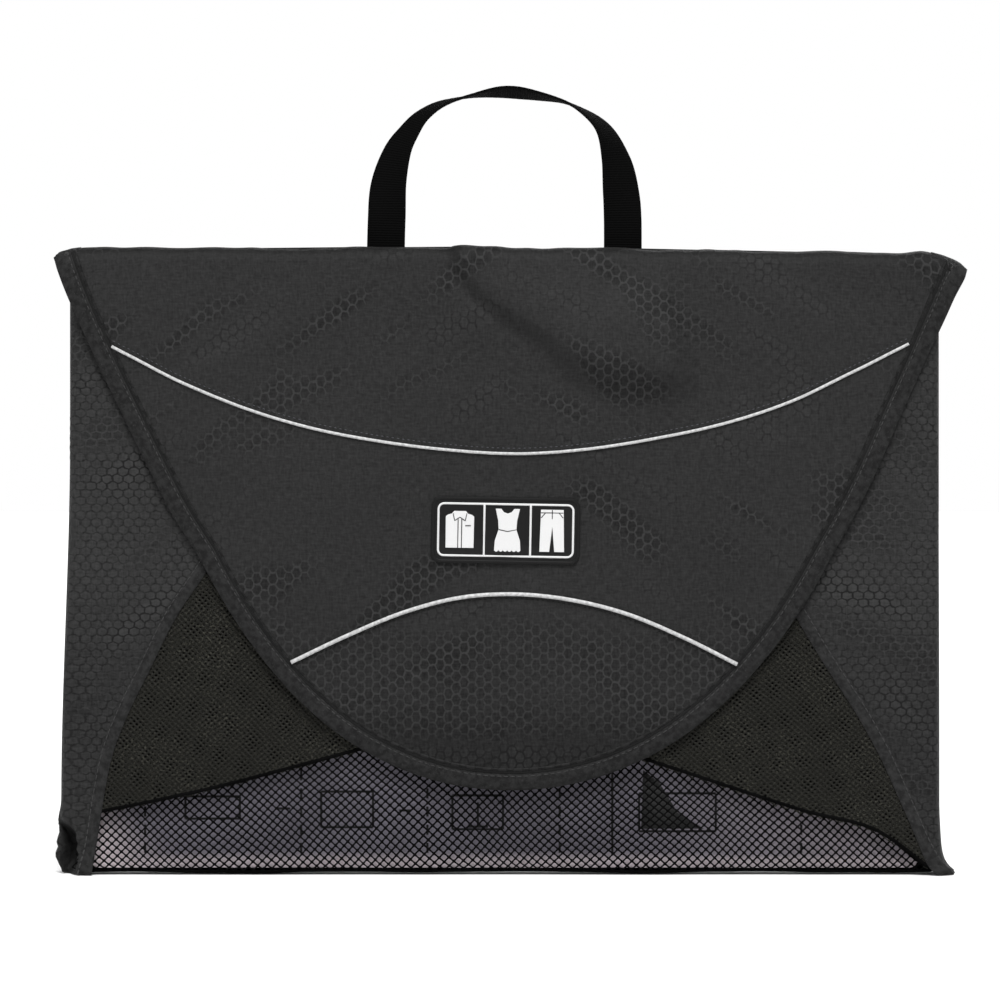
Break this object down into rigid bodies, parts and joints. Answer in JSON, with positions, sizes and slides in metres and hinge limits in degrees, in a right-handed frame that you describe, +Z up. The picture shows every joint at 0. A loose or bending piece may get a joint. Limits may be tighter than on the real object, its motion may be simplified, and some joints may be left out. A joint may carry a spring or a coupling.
{
  "type": "garment folder",
  "caption": "Envelope-style garment folder: a bound top flap and two mesh wings close over a folding board, with a webbing carry loop.",
  "frame": {"origin": "middle of the base, under the middle of the bounding box", "axes": "+Z up with the handle on top, X across the width, the front with the flap faces -Y"},
  "size_m": [0.444, 0.0476, 0.3924],
  "materials": {
    "ripstop": "charcoal hex ripstop nylon",
    "binding": "charcoal folded binding tape",
    "mesh": "black diamond mesh",
    "webbing": "black ribbed webbing",
    "piping": "pale grey reflective piping",
    "rubber": "moulded black rubber",
    "print": "white rubber relief",
    "board": "white folding board with printed guide",
    "fastener": "black hook-and-loop tape"
  },
  "bodies": {
    "back": {"back_binding": "binding", "back_mesh_panel": "mesh", "back_yoke": "ripstop", "bottom_gusset": "mesh", "left_handle_patch": "webbing", "right_handle_patch": "webbing"},
    "top_spine": {"top_spine_panel": "ripstop"},
    "top_flap": {"top_flap_panel": "ripstop", "top_flap_binding": "binding", "upper_piping": "piping", "lower_piping": "piping", "rubber_patch": "rubber", "patch_frame": "print", "shirt_pictogram": "print", "dress_pictogram": "print", "trousers_pictogram": "print", "flap_hook_strip": "fastener"},
    "left_gusset": {"left_gusset_panel": "ripstop"},
    "left_wing": {"left_wing_yoke": "ripstop", "left_wing_seam_tape": "binding", "left_wing_mesh": "mesh", "left_wing_hem": "mesh", "left_wing_loop_strip": "fastener"},
    "right_gusset": {"right_gusset_panel": "ripstop"},
    "right_wing": {"right_wing_yoke": "ripstop", "right_wing_seam_tape": "binding", "right_wing_mesh": "mesh", "right_wing_hem": "mesh", "right_wing_loop_strip": "fastener"},
    "bottom_flap": {"bottom_mesh_flap": "mesh", "bottom_flap_hem": "binding"},
    "board": {"folding_board": "board"},
    "handle": {"handle_webbing": "webbing"}
  },
  "joints": [
    {"name": "top_spine_hinge", "type": "hinge", "parent": "back", "child": "top_spine", "pos_m": [0, 0.00316, 0.308], "axis": [-1, 0, 0], "range_deg": [0, 85]},
    {"name": "top_flap_hinge", "type": "hinge", "parent": "top_spine", "child": "top_flap", "pos_m": [0, -0.02144, 0.308], "axis": [-1, 0, 0], "range_deg": [0, 85]},
    {"name": "left_gusset_hinge", "type": "hinge", "parent": "back", "child": "left_gusset", "pos_m": [-0.215, 0.00316, 0], "axis": [0, 0, -1], "range_deg": [0, 85]},
    {"name": "left_wing_hinge", "type": "hinge", "parent": "left_gusset", "child": "left_wing", "pos_m": [-0.215, -0.01784, 0], "axis": [0, 0, -1], "range_deg": [0, 85]},
    {"name": "right_gusset_hinge", "type": "hinge", "parent": "back", "child": "right_gusset", "pos_m": [0.215, 0.00316, 0], "axis": [0, 0, 1], "range_deg": [0, 85]},
    {"name": "right_wing_hinge", "type": "hinge", "parent": "right_gusset", "child": "right_wing", "pos_m": [0.215, -0.01784, 0], "axis": [0, 0, 1], "range_deg": [0, 85]},
    {"name": "bottom_flap_hinge", "type": "hinge", "parent": "back", "child": "bottom_flap", "pos_m": [0, -0.01564, 0.0002], "axis": [1, 0, 0], "range_deg": [0, 85]},
    {"name": "board_slide", "type": "slide", "parent": "back", "child": "board", "axis": [0, 0, 1], "range_m": [0, 0.0536]},
    {"name": "handle_hinge", "type": "hinge", "parent": "back", "child": "handle", "pos_m": [0, 0.00536, 0.3053], "axis": [-1, 0, 0], "range_deg": [0, 160]}
  ],
  "couplings": [
    {"joint": "top_flap_hinge", "follows": "top_spine_hinge", "ratio": 1},
    {"joint": "left_gusset_hinge", "follows": "top_spine_hinge", "ratio": 1},
    {"joint": "left_wing_hinge", "follows": "top_spine_hinge", "ratio": 1},
    {"joint": "right_gusset_hinge", "follows": "top_spine_hinge", "ratio": 1},
    {"joint": "right_wing_hinge", "follows": "top_spine_hinge", "ratio": 1},
    {"joint": "bottom_flap_hinge", "follows": "top_spine_hinge", "ratio": 1},
    {"joint": "board_slide", "follows": "top_spine_hinge", "m_per_rad": 0.036}
  ]
}
